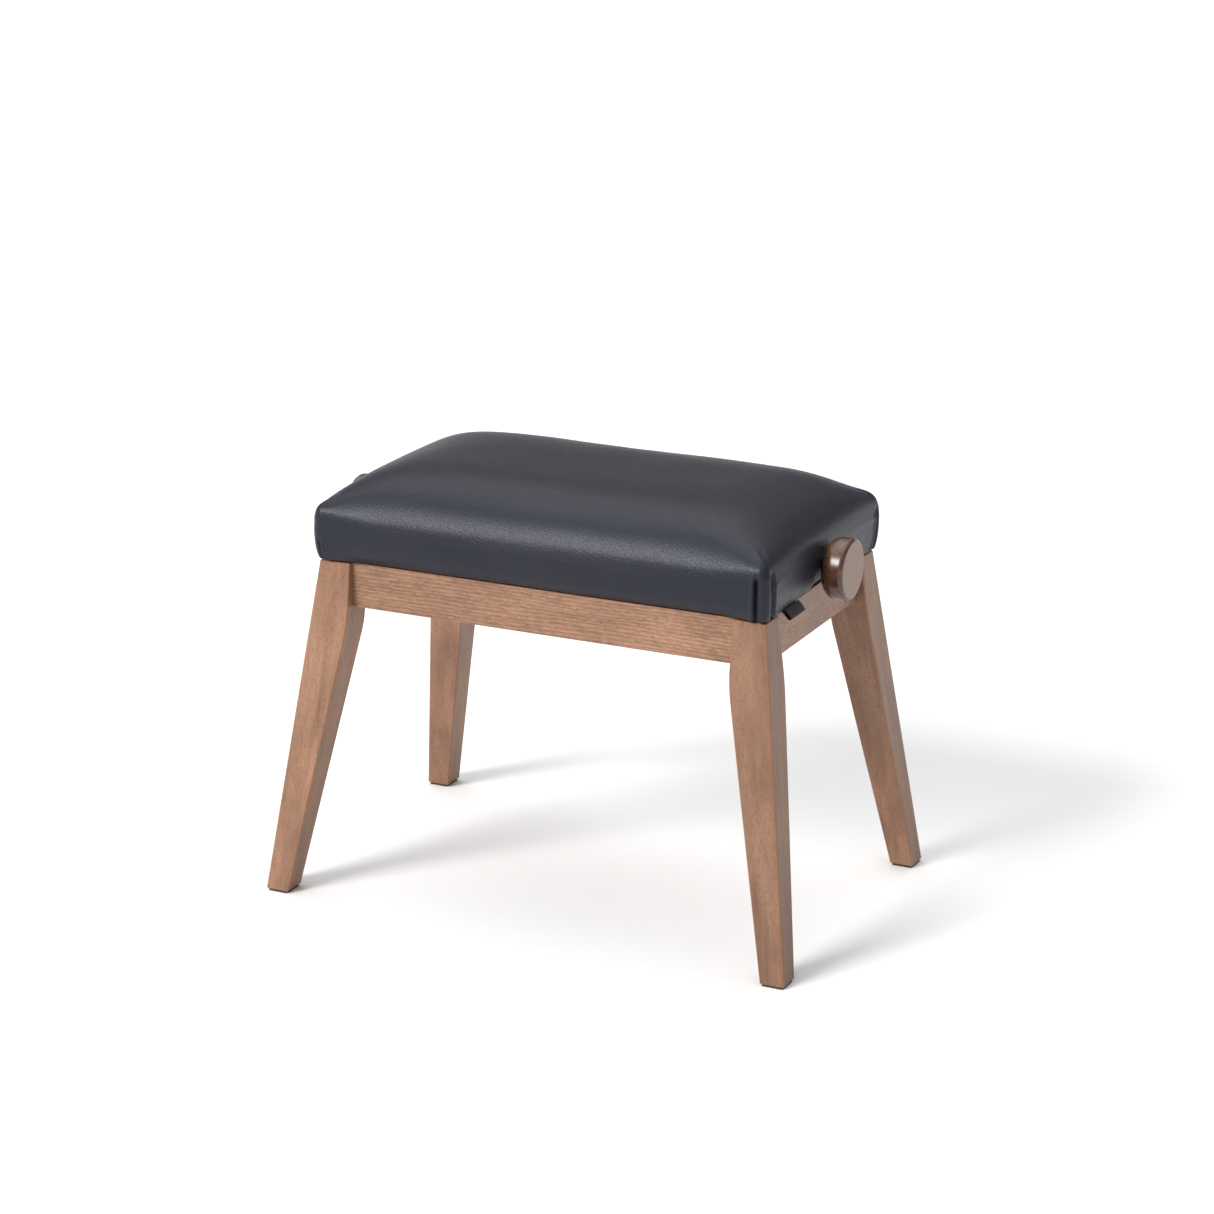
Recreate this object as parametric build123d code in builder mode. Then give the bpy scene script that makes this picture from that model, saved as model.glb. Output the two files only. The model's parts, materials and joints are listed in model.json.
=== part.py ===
from build123d import *

import math
import os

# A height-adjustable piano bench: splayed wooden legs, a padded seat and a screw-driven scissor lift.
# Millimetres. The origin is on the floor under the middle of the bench, at its lowest seat height.
# +X runs along the seat, +Y to the back, +Z up. Sides are -1 for left or front, 1 for right or rear.

# Wooden frame
frame_length = 544.0        # over the leg tops, along X
frame_width = 308.0         # over the leg tops, along Y
frame_height = 389.0        # floor to the leg tops
foot_length = 645.0         # over the feet, along X
foot_width = 416.5          # over the feet, along Y
leg_top = (38.5, 34.5)      # leg section at the top, along X and Y
leg_foot = (28.5, 30.5)     # leg section at the foot
knee_drop = 19.0            # apron's underside to where the leg's inner faces turn outwards
knee_radius = 200.0
leg_edge_round = 2.0
leg_end_chamfer = 1.0
foot_pad_height = 2.5
foot_pad_inset = 1.5
foot_pad_round = 3.0
apron_height = 52.0
apron_thickness = 20.0
apron_setback = 6.0         # leg's outer face to apron's outer face, at the top
apron_edge_round = 1.5
dowel_radius = 4.0
dowel_length = 34.0
dowel_end_gap = 0.5         # at each end of a dowel's hole
dowel_chamfer = 1.0
dowel_levels = (14.0, 38.0)             # above the apron's underside, in the long aprons
dowel_stagger = -6.0                    # the end aprons' dowels sit this much lower
corner_block_size = (41.0, 31.0)        # along X and Y, from the aprons' inner faces
corner_block_height = 40.0
corner_block_drop = 4.0                 # leg tops to block tops
corner_block_gap = 0.5                  # block to leg
corner_screw_levels = (12.0, 28.0)      # above the block's underside

# Seat
seat_gap = 2.0              # aprons to the cover folded under the seat
cover_thickness = 1.5
cover_fold = 16.0           # width of the cover folded under the rim
rim_height = 30.5
rim_thickness = 18.0
rim_setback = 4.0           # board's edge inside the leg tops' outline, along Y
rim_setback_x = 2.0         # the same along X
board_thickness = 12.0
board_round = 3.0
cover_low_margin = (2.5, 2.0)           # cover's lower outline outside the board, along X and Y
cover_wide_margin = (8.0, 15.0)         # cover's widest outline outside the board
cover_wide_rise = 2.0       # board's top to the widest outline
cover_corner_low = 12.0
cover_corner_wide = 20.0
crown_rise = 56.5           # widest outline to the crown's top
crown_levels = (0.0, 0.27, 0.54, 0.77, 0.92, 1.0)       # shares of that rise
crown_shares = (1.0, 0.99, 0.94, 0.82, 0.62, 0.45)      # shares of the widest outline at those levels
padding_gap = 0.5           # foam to cover
recess_width = 60.0         # shallow recess in the seat's ends, under the spindle
recess_height = 5.0
recess_round = 4.0
rim_screw_spacing = 150.0
label_width = 39.0
label_drop = 16.0           # along the hanging ribbon
label_tilt = 43.0           # degrees outwards
label_thickness = 0.6
label_gap = 2.5             # between the folded label's two leaves
label_y = -83.0
staple_length = 10.0
staple_wire = 0.7
staple_spacing = 28.0

# Scissor lift
sheet = 3.0                 # steel rails and ties
rail_flange = 20.0
rail_gap = 4.0              # rail to corner block
lower_rail_rise = 5.0       # apron's underside to the rail
lower_rail_height = 24.0
upper_rail_height = 25.0
upper_rail_end = 8.0        # slide block's furthest reach to the upper rail's end
bend_round = 3.0
tie_width = 20.0
tie_place = 110.0           # ties' distance from the middle
arm_length = 340.0          # between end pivots
arm_width = 18.0
arm_thickness = 4.0
arm_gap = 1.0               # between arms, and from arm to rail
lower_pivot_rise = 18.0     # apron's underside to the lower pivots
lift_travel = 100.0
tube_radius = 7.0
tube_wall = 1.5
tube_place = 60.0           # cross tube's distance from the arm's lower pivot
shaft_radius = 5.0
running_clearance = 0.08
close_clearance = 0.03      # between pieces of one assembly that don't turn on each other
pin_head_radius = 8.0
pin_head_height = 2.0
clip_radius = 8.0
clip_thickness = 1.0
clip_groove_depth = 0.8
clip_groove_radius = shaft_radius - clip_groove_depth
clip_gap = 0.2
clip_opening = 6.0
slide_block_length = 16.0
slide_block_wall = 0.5      # least wall over and under the shaft
slide_block_height = 2 * (shaft_radius + slide_block_wall)
slide_block_flange = (22.0, 16.0, 2.5)  # along X, Z and Y
slide_block_round = 1.5
slide_clearance = 0.1
slot_end_gap = 1.5
spacer_radius = 8.0

# Spindle and knobs
spindle_rise = 19.0         # rim's underside to the spindle
spindle_radius = 6.0
spindle_end_radius = 5.0
spindle_chamfer = 1.0
bar_size = 20.0             # square thrust bar and nut bar
bar_chamfer = 1.0
knob_radius = 35.0
knob_thickness = 29.0
knob_face_round = 5.0       # outer edge
knob_back_round = 16.0      # edge towards the seat
knob_gap = 2.0              # widest outline of the cover to the knob
insert_radius = 8.0
insert_length = 18.0
insert_inset = 1.0
knob_bore_depth = 20.0
collar_radius = 11.0
collar_length = 8.0
collar_gap = 0.3
collar_chamfer = 0.6
set_screw_radius = 2.5
set_screw_length = 4.0
set_screw_gap = 0.2         # grub screw to spindle
spindle_hole_radius = 9.0

# Wood screws
screw_radius = 2.0
screw_tip = 4.0
rail_screw_length = 14.0
corner_screw_length = 24.0
rim_screw_length = 35.0
screw_head_radius = 3.8
screw_head_height = 2.4
screw_slot = (4.6, 0.9, 1.1)            # length, width and depth of the cross recess
screw_head_clearance = 0.3
rim_screw_sink = 1.0        # rim's underside to the sunk screw heads
tab_screw_step = 10.0       # between the two screws in each end tab of the lower rails
upper_screw_x = 40.0        # the upper rails' inner screws, from the middle
upper_screw_inset = 10.0    # and the outer ones, from the rail's end
overrun = 1.0               # how far a cut runs past the face it opens

# Places that follow from the sizes above
apron_bottom = frame_height - apron_height
leg_inner_x = frame_length / 2 - leg_top[0]
leg_inner_y = frame_width / 2 - leg_top[1]
apron_outer_x = frame_length / 2 - apron_setback
apron_outer_y = frame_width / 2 - apron_setback
apron_inner_x = apron_outer_x - apron_thickness
apron_inner_y = apron_outer_y - apron_thickness
block_bottom = frame_height - corner_block_drop - corner_block_height

seat_bottom = frame_height + seat_gap
rim_bottom = seat_bottom + cover_thickness
board_bottom = rim_bottom + rim_height
board_top = board_bottom + board_thickness
board_length = frame_length - 2 * rim_setback_x
board_width = frame_width - 2 * rim_setback
cover_wide_z = board_top + cover_wide_rise
cover_length = board_length + 2 * cover_wide_margin[0]
cover_width = board_width + 2 * cover_wide_margin[1]
cover_top = cover_wide_z + crown_rise

flange_outer_y = apron_inner_y - corner_block_size[1] - rail_gap
web_inner_y = flange_outer_y - rail_flange
web_outer_y = web_inner_y + sheet
outer_arm_y = web_inner_y - arm_gap - arm_thickness / 2
inner_arm_y = outer_arm_y - arm_gap - arm_thickness
flange_screw_y = (web_outer_y + flange_outer_y) / 2
lower_rail_bottom = apron_bottom + lower_rail_rise
upper_rail_bottom = board_bottom - upper_rail_height

spindle_z = rim_bottom + spindle_rise
lower_pivot_z = apron_bottom + lower_pivot_rise
start_rise = spindle_z - lower_pivot_z
start_angle = math.asin(start_rise / arm_length)
pivot_x = -arm_length / 2
slide_x = pivot_x + arm_length * math.cos(start_angle)
raised_slide_x = pivot_x + math.sqrt(arm_length**2 - (start_rise + lift_travel) ** 2)
centre_x = (pivot_x + slide_x) / 2
centre_z = (spindle_z + lower_pivot_z) / 2
slot_centre_x = (slide_x + raised_slide_x) / 2
slot_length = slide_x - raised_slide_x + slide_block_length + 2 * slot_end_gap
upper_rail_half = max(-pivot_x, slide_x) + slide_block_flange[0] / 2 + slot_end_gap + upper_rail_end
block_outer_y = web_outer_y + slide_clearance + slide_block_flange[2]
knob_inner_x = cover_length / 2 + knob_gap
shaft_hole = shaft_radius + running_clearance
fixed_hole = shaft_radius + close_clearance

x_sides = {"left": -1, "right": 1}
y_sides = {"front": -1, "rear": 1}
corners = {f"{y_name}_{x_name}": (x, y) for y_name, y in y_sides.items() for x_name, x in x_sides.items()}

along_x = (0, 90, 0)
along_y = (90, 0, 0)


def finish(piece, name):
    piece.part.label = name
    export_step(piece.part, f"parts/{name}.step")


def place(origin, direction):
    """A location whose Z axis points along the direction."""
    return Plane(origin=origin, z_dir=direction).location


# Wooden frame


def leg_outline(top_outer, foot_outer, top_size, foot_size, side):
    """One view of a leg: straight outside, upright then tapering inside, with a long bend between."""
    with BuildSketch() as outline:
        with BuildLine():
            inside = FilletPolyline(
                (side * (top_outer - top_size), frame_height),
                (side * (top_outer - top_size), apron_bottom - knee_drop),
                (side * (foot_outer - foot_size), foot_pad_height),
                radius=knee_radius,
            )
            Polyline(
                inside @ 1,
                (side * foot_outer, foot_pad_height),
                (side * top_outer, frame_height),
                inside @ 0,
            )
        make_face()
    return outline.sketch


def dowel_places():
    """Dowels along X join the long aprons to the legs, and dowels along Y the end aprons."""
    long_y = apron_outer_y - apron_thickness / 2
    end_x = apron_outer_x - apron_thickness / 2
    places = []
    for x, y in corners.values():
        for level in dowel_levels:
            height = apron_bottom + level
            places.append(place((x * leg_inner_x, y * long_y, height), (1, 0, 0)))
            places.append(place((x * end_x, y * leg_inner_y, height + dowel_stagger), (0, 1, 0)))
    return places


def cut_dowel_holes():
    with Locations(*dowel_places()):
        Cylinder(dowel_radius + close_clearance, dowel_length + 2 * dowel_end_gap, mode=Mode.SUBTRACT)


def corner_screw_places():
    """Two screws through each corner block's slanted face into the leg."""
    along_block, across_block = corner_block_size
    places = []
    for x, y in corners.values():
        middle = (x * (apron_inner_x - along_block / 2), y * (apron_inner_y - across_block / 2))
        for level in corner_screw_levels:
            places.append(place((*middle, block_bottom + level), (x * across_block, y * along_block, 0)))
    return places


def lower_rail_screw_places():
    """Two screws through each end tab of the lower rails into the end aprons."""
    tab_z = lower_rail_bottom + (sheet + lower_rail_height) / 2
    return [
        place((x * (apron_inner_x - sheet), y * flange_screw_y, tab_z + step), (x, 0, 0))
        for x, y in corners.values()
        for step in (-tab_screw_step / 2, tab_screw_step / 2)
    ]


def upper_rail_screw_places():
    """Screws up through the upper rails' flanges into the seat board."""
    return [
        place((x * reach, y * flange_screw_y, board_bottom - sheet), (0, 0, 1))
        for x, y in corners.values()
        for reach in (upper_screw_x, upper_rail_half - upper_screw_inset)
    ]


def rim_screw_places():
    """Screws up through the rim, sunk into its underside, into the seat board."""
    long_y = board_width / 2 - rim_thickness / 2
    end_x = board_length / 2 - rim_thickness / 2
    head_z = rim_bottom + screw_head_height + rim_screw_sink
    long_rails = [(x, y * long_y) for y in (-1, 1) for x in (-rim_screw_spacing, 0, rim_screw_spacing)]
    end_rails = [(x * end_x, y * board_width / 4) for x in (-1, 1) for y in (-1, 1)]
    return [place((*spot, head_z), (0, 0, 1)) for spot in long_rails + end_rails]


def cut_screw_holes(places, length):
    """Holes as deep as the screws, which run back past their heads' undersides."""
    with Locations(*places):
        Cylinder(screw_radius + close_clearance, 2 * length, mode=Mode.SUBTRACT)


def screws(name, places, length):
    """Pan-head wood screws with a cross recess; each place is under the head, and Z points into the wood."""
    upwards = (Align.CENTER, Align.CENTER, Align.MIN)
    downwards = (Align.CENTER, Align.CENTER, Align.MAX)
    slot_length, slot_width, slot_depth = screw_slot
    with BuildPart() as group:
        with Locations(*places):
            Cylinder(screw_radius, length - screw_tip, align=upwards)
            Cylinder(screw_head_radius, screw_head_height, align=downwards)
        with Locations(*[spot * Location((0, 0, -screw_head_height)) for spot in places]):
            Box(slot_length, slot_width, slot_depth, align=upwards, mode=Mode.SUBTRACT)
            Box(slot_width, slot_length, slot_depth, align=upwards, mode=Mode.SUBTRACT)
        with Locations(*[spot * Location((0, 0, length - screw_tip)) for spot in places]):
            Cone(screw_radius, screw_radius / 4, screw_tip, align=upwards)
    finish(group, name)


def legs():
    for corner, (x, y) in corners.items():
        with BuildPart() as leg:
            with BuildSketch(Plane.XZ):
                add(leg_outline(frame_length / 2, foot_length / 2, leg_top[0], leg_foot[0], x))
            extrude(amount=foot_width, both=True)
            with BuildSketch(Plane.YZ):
                add(leg_outline(frame_width / 2, foot_width / 2, leg_top[1], leg_foot[1], y))
            extrude(amount=foot_length, both=True, mode=Mode.INTERSECT)
            long_edges = leg.edges().filter_by(lambda edge: edge.bounding_box().size.Z > 1)
            fillet(long_edges, leg_edge_round)
            ends = leg.faces().filter_by(Axis.Z).sort_by(Axis.Z)
            chamfer((ends[0] + ends[-1]).edges(), leg_end_chamfer)
            cut_dowel_holes()
            cut_screw_holes(corner_screw_places(), corner_screw_length)
        finish(leg, f"leg_{corner}")


def foot_pads():
    size_x = leg_foot[0] - 2 * foot_pad_inset
    size_y = leg_foot[1] - 2 * foot_pad_inset
    with BuildPart() as pads:
        with BuildSketch():
            with GridLocations(foot_length - leg_foot[0], foot_width - leg_foot[1], 2, 2):
                RectangleRounded(size_x, size_y, foot_pad_round)
        extrude(amount=foot_pad_height)
    finish(pads, "foot_pads")


def aprons():
    for name, side in y_sides.items():
        with BuildPart() as apron:
            with Locations((0, side * (apron_outer_y - apron_thickness / 2), apron_bottom)):
                Box(2 * leg_inner_x, apron_thickness, apron_height,
                    align=(Align.CENTER, Align.CENTER, Align.MIN))
            fillet(apron.edges().filter_by(Axis.X), apron_edge_round)
            cut_dowel_holes()
        finish(apron, f"apron_{name}")
    for name, side in x_sides.items():
        with BuildPart() as apron:
            with Locations((side * (apron_outer_x - apron_thickness / 2), 0, apron_bottom)):
                Box(apron_thickness, 2 * leg_inner_y, apron_height,
                    align=(Align.CENTER, Align.CENTER, Align.MIN))
            fillet(apron.edges().filter_by(Axis.Y), apron_edge_round)
            cut_dowel_holes()
            cut_screw_holes(lower_rail_screw_places(), rail_screw_length)
        finish(apron, f"apron_{name}")


def apron_dowels():
    with BuildPart() as dowels:
        with Locations(*dowel_places()):
            Cylinder(dowel_radius, dowel_length)
        chamfer(dowels.edges().filter_by(GeomType.CIRCLE), dowel_chamfer)
    finish(dowels, "apron_dowels")


def corner_blocks():
    """Glue blocks across the frame's corners, notched round the leg."""
    along_block, across_block = corner_block_size
    notch_x = leg_inner_x - corner_block_gap
    notch_y = leg_inner_y - corner_block_gap
    for corner, (x, y) in corners.items():
        outline = [
            (apron_inner_x, apron_inner_y - across_block),
            (apron_inner_x, notch_y),
            (notch_x, notch_y),
            (notch_x, apron_inner_y),
            (apron_inner_x - along_block, apron_inner_y),
        ]
        with BuildPart() as block:
            with BuildSketch(Plane.XY.offset(block_bottom)):
                with BuildLine():
                    Polyline(*[(x * px, y * py) for px, py in outline], close=True)
                make_face()
            extrude(amount=corner_block_height)
            cut_screw_holes(corner_screw_places(), corner_screw_length)
        finish(block, f"corner_block_{corner}")


# Seat


def seat_board():
    with BuildPart() as board:
        with BuildSketch(Plane.XY.offset(board_bottom)):
            RectangleRounded(board_length, board_width, cover_corner_low)
        extrude(amount=board_thickness)
        fillet(board.faces().sort_by(Axis.Z)[-1].edges(), board_round)
        cut_screw_holes(upper_rail_screw_places(), rail_screw_length)
        cut_screw_holes(rim_screw_places(), rim_screw_length)
    finish(board, "seat_board")


def rim_rails():
    middle_z = rim_bottom + rim_height / 2
    end_length = board_width - 2 * rim_thickness
    for name, side in y_sides.items():
        with BuildPart() as rail:
            with Locations((0, side * (board_width - rim_thickness) / 2, middle_z)):
                Box(board_length, rim_thickness, rim_height)
            outer = rail.faces().sort_by(Axis.Y)[0 if side < 0 else -1]
            fillet(outer.edges().filter_by(Axis.Z), cover_corner_low)
            cut_rim_screws()
        finish(rail, f"rim_{name}")
    for name, side in x_sides.items():
        with BuildPart() as rail:
            with Locations((side * (board_length - rim_thickness) / 2, 0, middle_z)):
                Box(rim_thickness, end_length, rim_height)
            with BuildSketch(Plane.YZ):
                add(recess_outline())
            extrude(amount=frame_length, both=True, mode=Mode.SUBTRACT)
            cut_rim_screws()
        finish(rail, f"rim_{name}")


def recess_outline():
    """The shallow recess under both ends of the seat, and the spindle's hole above it."""
    bottom = seat_bottom - overrun
    top = rim_bottom + recess_height
    with BuildSketch() as outline:
        with Locations((0, (bottom + top) / 2)):
            Rectangle(recess_width, top - bottom)
        fillet(outline.vertices().group_by(Axis.Y)[-1], recess_round)
        with Locations((0, spindle_z)):
            Circle(spindle_hole_radius)
    return outline.sketch


def cut_rim_screws():
    pocket = screw_head_height + rim_screw_sink + overrun
    sunk = [spot * Location((0, 0, -pocket)) for spot in rim_screw_places()]
    with Locations(*sunk):
        Cylinder(screw_head_radius + screw_head_clearance, pocket,
                 align=(Align.CENTER, Align.CENTER, Align.MIN), mode=Mode.SUBTRACT)
    cut_screw_holes(rim_screw_places(), rim_screw_length)


def crown(bottom, shrink):
    """The padded top, drawing in towards its crown in steps."""
    length = cover_length - 2 * shrink
    width = cover_width - 2 * shrink
    rise = cover_top - shrink - bottom
    with BuildPart() as block:
        for level, share in zip(crown_levels, crown_shares):
            with BuildSketch(Plane.XY.offset(bottom + rise * level)):
                RectangleRounded(length * share, width * share, (cover_corner_wide - shrink) * share)
        loft(ruled=True)
    return block.part


def skirt(bottom, shrink):
    """The seat's sides, widening from the rim's underside to the padding."""
    low_length = board_length + 2 * (cover_low_margin[0] - shrink)
    low_width = board_width + 2 * (cover_low_margin[1] - shrink)
    with BuildPart() as sides:
        with BuildSketch(Plane.XY.offset(bottom)):
            RectangleRounded(low_length, low_width, cover_corner_low - shrink)
        with BuildSketch(Plane.XY.offset(cover_wide_z)):
            RectangleRounded(cover_length - 2 * shrink, cover_width - 2 * shrink, cover_corner_wide - shrink)
        loft()
    return sides.part


def seat_foam():
    with BuildPart() as foam:
        add(crown(board_top, cover_thickness + padding_gap))
    finish(foam, "seat_foam")


def seat_cover():
    fold_length = board_length - 2 * cover_fold
    fold_width = board_width - 2 * cover_fold
    with BuildPart() as cover:
        add(crown(cover_wide_z, 0))
        add(skirt(seat_bottom, 0))
        add(crown(cover_wide_z, cover_thickness), mode=Mode.SUBTRACT)
        add(skirt(rim_bottom, cover_thickness), mode=Mode.SUBTRACT)
        with BuildSketch(Plane.XY.offset(seat_bottom - overrun)):
            Rectangle(fold_length, fold_width)
        extrude(amount=cover_thickness + 2 * overrun, mode=Mode.SUBTRACT)
        with BuildSketch(Plane.YZ):
            add(recess_outline())
        extrude(amount=frame_length, both=True, mode=Mode.SUBTRACT)
    finish(cover, "seat_cover")


def cover_staples():
    """Staples through the cover's fold into the rim's underside; only their crowns are modelled."""
    inset = cover_fold / 2
    count_x = int((board_length - 4 * cover_fold) // staple_spacing)
    count_y = int((board_width - 4 * cover_fold) // staple_spacing)
    with BuildPart() as staples:
        with Locations((0, 0, seat_bottom - staple_wire / 2)):
            with GridLocations(staple_spacing, board_width - 2 * inset, count_x, 2):
                Box(staple_length, staple_wire, staple_wire)
            for side in x_sides.values():
                for step in range(count_y):
                    y = (step - (count_y - 1) / 2) * staple_spacing
                    if abs(y) > recess_width / 2 + staple_length / 2:
                        with Locations((side * (board_length / 2 - inset), y)):
                            Box(staple_wire, staple_length, staple_wire)
    finish(staples, "cover_staples")


def label_tag():
    """A folded cloth label under the seat's right end, leaning out from the end apron."""
    lean = math.radians(label_tilt)
    leaf_gap = label_gap + label_thickness
    low = leaf_gap / 2 - label_drop
    hanging = Plane(
        origin=(apron_outer_x + label_thickness, label_y, seat_bottom),
        x_dir=(math.cos(lean), 0, math.sin(lean)),
        z_dir=(0, -1, 0),
    )
    with BuildPart() as label:
        with BuildSketch(hanging):
            with BuildLine():
                inner_leaf = Line((0, label_thickness), (0, low))
                bend = ThreePointArc(inner_leaf @ 1, (leaf_gap / 2, -label_drop), (leaf_gap, low))
                Line(bend @ 1, (leaf_gap, label_thickness))
            trace(line_width=label_thickness)
        extrude(amount=label_width / 2, both=True)
        split(bisect_by=Plane.XY.offset(seat_bottom), keep=Keep.BOTTOM)
    finish(label, "label_tag")


# Scissor lift


def arm_end(start_x, start_z, angle, distance):
    """A point on an arm's line, measured from one end pivot."""
    return start_x + distance * math.cos(angle), start_z + distance * math.sin(angle)


def shaft_clips(name, x, z, inner_y):
    """Two open spring clips in a shaft's grooves."""
    with BuildPart() as clips:
        for side in y_sides.values():
            with BuildSketch(Plane.XZ.offset(-side * (inner_y + clip_thickness / 2))):
                with Locations((x, z)):
                    Circle(clip_radius)
                    Circle(clip_groove_radius + close_clearance, mode=Mode.SUBTRACT)
                with Locations((x, z - clip_radius)):
                    Rectangle(clip_opening, 2 * clip_radius, mode=Mode.SUBTRACT)
            extrude(amount=clip_thickness / 2, both=True)
    finish(clips, name)


def add_turned_shaft(x, z, half_length, groove_y):
    """A shaft along Y with a clip groove near each end."""
    groove_width = clip_thickness + clip_gap
    with Locations((x, 0, z)):
        Cylinder(shaft_radius, 2 * half_length, rotation=along_y)
    for side in y_sides.values():
        with Locations((x, side * (groove_y + clip_thickness / 2), z)):
            Cylinder(shaft_radius + overrun, groove_width, rotation=along_y, mode=Mode.SUBTRACT)
            Cylinder(clip_groove_radius, groove_width, rotation=along_y)


def rail_profile(flange_side, web_low, web_high):
    """An angle rail's section, for the rear; the flange is at the web's lower or upper end."""
    with BuildSketch() as profile:
        with Locations(((web_inner_y + web_outer_y) / 2, (web_low + web_high) / 2)):
            Rectangle(sheet, web_high - web_low)
        flange_z = web_low + sheet / 2 if flange_side < 0 else web_high - sheet / 2
        with Locations(((web_inner_y + flange_outer_y) / 2, flange_z)):
            Rectangle(rail_flange, sheet)
        inner_low = profile.vertices().group_by(Axis.X)[0].sort_by(Axis.Y)
        fillet(inner_low[0 if flange_side < 0 else -1], bend_round)
    return profile.sketch


def lower_rails():
    web_top = lower_rail_bottom + lower_rail_height
    tab_height = lower_rail_height - sheet
    for name, side in y_sides.items():
        with BuildPart() as rail:
            with BuildSketch(Plane.YZ):
                outline = rail_profile(-1, lower_rail_bottom, web_top)
                add(outline if side > 0 else mirror(outline, about=Plane.YZ, mode=Mode.PRIVATE))
            extrude(amount=apron_inner_x, both=True)
            for end in x_sides.values():
                with Locations((end * (apron_inner_x - sheet / 2), side * (web_outer_y + flange_outer_y) / 2,
                                web_top - tab_height / 2)):
                    Box(sheet, rail_flange - sheet, tab_height)
            with BuildSketch(Plane.XZ):
                with Locations((pivot_x, lower_pivot_z)):
                    Circle(fixed_hole)
                with Locations((slot_centre_x, lower_pivot_z)):
                    Rectangle(slot_length, slide_block_height)
            extrude(amount=frame_width, both=True, mode=Mode.SUBTRACT)
            cut_screw_holes(lower_rail_screw_places(), rail_screw_length)
        finish(rail, f"lower_rail_{name}")


def upper_rails():
    for name, side in y_sides.items():
        with BuildPart() as rail:
            with BuildSketch(Plane.YZ):
                outline = rail_profile(1, upper_rail_bottom, board_bottom)
                add(outline if side > 0 else mirror(outline, about=Plane.YZ, mode=Mode.PRIVATE))
            extrude(amount=upper_rail_half, both=True)
            with BuildSketch(Plane.XZ):
                with Locations((pivot_x, spindle_z)):
                    Circle(fixed_hole)
                with Locations((slot_centre_x, spindle_z)):
                    Rectangle(slot_length, slide_block_height)
            extrude(amount=frame_width, both=True, mode=Mode.SUBTRACT)
            cut_screw_holes(upper_rail_screw_places(), rail_screw_length)
        finish(rail, f"upper_rail_{name}")


def ties():
    """Flat bars that join the front and rear rails: under the lower pair, between the upper pair."""
    with BuildPart() as lower:
        with Locations((0, 0, lower_rail_bottom - sheet / 2)):
            with GridLocations(2 * tie_place, 1, 2, 1):
                Box(tie_width, 2 * flange_outer_y, sheet)
        fillet(lower.edges().filter_by(Axis.Z), bend_round)
    finish(lower, "lower_ties")
    with BuildPart() as upper:
        with Locations((0, 0, board_bottom - sheet / 2)):
            with GridLocations(2 * tie_place, 1, 2, 1):
                Box(tie_width, 2 * web_inner_y, sheet)
    finish(upper, "upper_ties")


def arm(name, middle_y, angle):
    with BuildPart() as bar:
        with BuildSketch(Plane.XZ.offset(-middle_y)):
            with Locations((centre_x, centre_z)):
                SlotCenterToCenter(arm_length, arm_width, rotation=math.degrees(angle))
                with Locations(Location((0, 0, 0), (0, 0, math.degrees(angle)))):
                    with GridLocations(arm_length / 2, 1, 3, 1):
                        Circle(shaft_hole, mode=Mode.SUBTRACT)
        extrude(amount=arm_thickness / 2, both=True)
    finish(bar, name)


def arms():
    for name, side in y_sides.items():
        arm(f"arm_outer_{name}", side * outer_arm_y, start_angle)
        arm(f"arm_inner_{name}", side * inner_arm_y, -start_angle)


def arm_tubes():
    """Cross tubes that hold each pair of arms in step, welded between them near their lower ends."""
    outer_spot = arm_end(pivot_x, lower_pivot_z, start_angle, tube_place)
    inner_spot = arm_end(slide_x, lower_pivot_z, math.pi - start_angle, tube_place)
    for name, (x, z), middle_y in (
        ("arm_outer_tube", outer_spot, outer_arm_y),
        ("arm_inner_tube", inner_spot, inner_arm_y),
    ):
        with BuildPart() as tube:
            with BuildSketch(Plane.XZ):
                with Locations((x, z)):
                    Circle(tube_radius)
                    Circle(tube_radius - tube_wall, mode=Mode.SUBTRACT)
            extrude(amount=middle_y - arm_thickness / 2, both=True)
        finish(tube, name)


def centre_pins():
    """A pivot pin through each crossing, headed on both sides."""
    inner_face = inner_arm_y - arm_thickness / 2 - arm_gap / 2
    outer_face = outer_arm_y + arm_thickness / 2
    with BuildPart() as pins:
        for side in y_sides.values():
            with Locations((centre_x, side * (inner_face + outer_face) / 2, centre_z)):
                Cylinder(shaft_radius, outer_face - inner_face, rotation=along_y)
            for face, outwards in ((inner_face, -1), (outer_face, 1)):
                with Locations((centre_x, side * (face + outwards * pin_head_height / 2), centre_z)):
                    Cylinder(pin_head_radius, pin_head_height, rotation=along_y)
        rims = pins.edges().filter_by(GeomType.CIRCLE).filter_by(lambda e: e.radius > shaft_radius)
        fillet(rims, pin_head_height / 3)
    finish(pins, "centre_pins")


def lower_pivot_shaft():
    clip_y = web_outer_y + clip_gap
    with BuildPart() as shaft:
        add_turned_shaft(pivot_x, lower_pivot_z, clip_y + 2 * clip_thickness, clip_y)
    finish(shaft, "lower_pivot_shaft")
    shaft_clips("lower_pivot_clips", pivot_x, lower_pivot_z, clip_y)


def lower_slide_shaft():
    clip_y = block_outer_y + clip_gap
    with BuildPart() as shaft:
        add_turned_shaft(slide_x, lower_pivot_z, clip_y + 2 * clip_thickness, clip_y)
    finish(shaft, "lower_slide_shaft")
    shaft_clips("lower_slide_clips", slide_x, lower_pivot_z, clip_y)


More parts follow.
